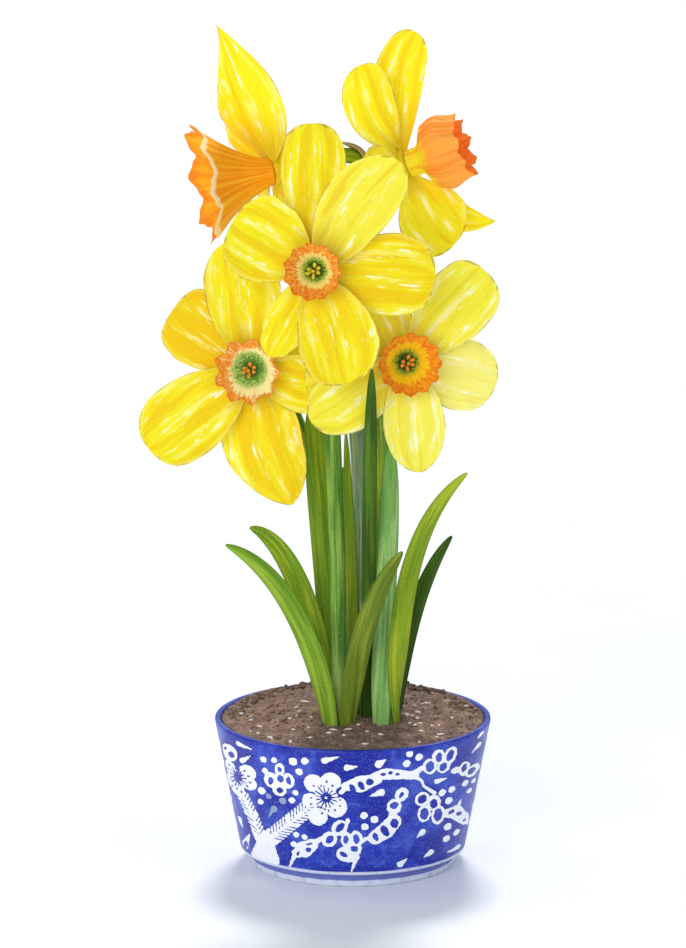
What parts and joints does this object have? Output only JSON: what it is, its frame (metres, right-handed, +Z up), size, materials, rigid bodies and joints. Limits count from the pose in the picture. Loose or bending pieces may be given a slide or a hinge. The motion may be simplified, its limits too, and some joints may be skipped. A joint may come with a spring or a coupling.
{
  "type": "potted daffodil",
  "caption": "Yellow daffodils with orange cups and strap leaves growing from a clump of bulbs in a small blue and white glazed pot of soil, free-standing.",
  "frame": {"origin": "centre of the flat underside of the pot's foot", "axes": "+Z up, from the underside to the flowers; -Y the side that most of the flowers face; +X to the right seen from there"},
  "size_m": [0.1483, 0.1183, 0.3545],
  "materials": {
    "glaze": "gloss",
    "soil": "matte",
    "bulb_skin": "matte",
    "stem": "satin",
    "leaf": "satin",
    "spathe": "matte",
    "petal": "matte",
    "cup": "matte",
    "stamen": "matte"
  },
  "bodies": {
    "root": {"pot": "glaze", "soil": "soil", "bulb_clump": "bulb_skin", "stem_front": "stem", "spathe_front": "spathe", "petals_front": "petal", "cup_front": "cup", "stamens_front": "stamen", "stem_lower_left": "stem", "spathe_lower_left": "spathe", "petals_lower_left": "petal", "cup_lower_left": "cup", "stamens_lower_left": "stamen", "stem_lower_right": "stem", "spathe_lower_right": "spathe", "petals_lower_right": "petal", "cup_lower_right": "cup", "stamens_lower_right": "stamen", "stem_upper_left": "stem", "spathe_upper_left": "spathe", "petals_upper_left": "petal", "cup_upper_left": "cup", "stamens_upper_left": "stamen", "stem_upper_right": "stem", "spathe_upper_right": "spathe", "petals_upper_right": "petal", "cup_upper_right": "cup", "stamens_upper_right": "stamen", "leaf_01": "leaf", "leaf_02": "leaf", "leaf_03": "leaf", "leaf_04": "leaf", "leaf_05": "leaf", "leaf_06": "leaf", "leaf_07": "leaf", "leaf_08": "leaf", "leaf_09": "leaf", "leaf_10": "leaf", "leaf_11": "leaf", "leaf_12": "leaf", "leaf_13": "leaf", "leaf_14": "leaf"}
  },
  "joints": []
}
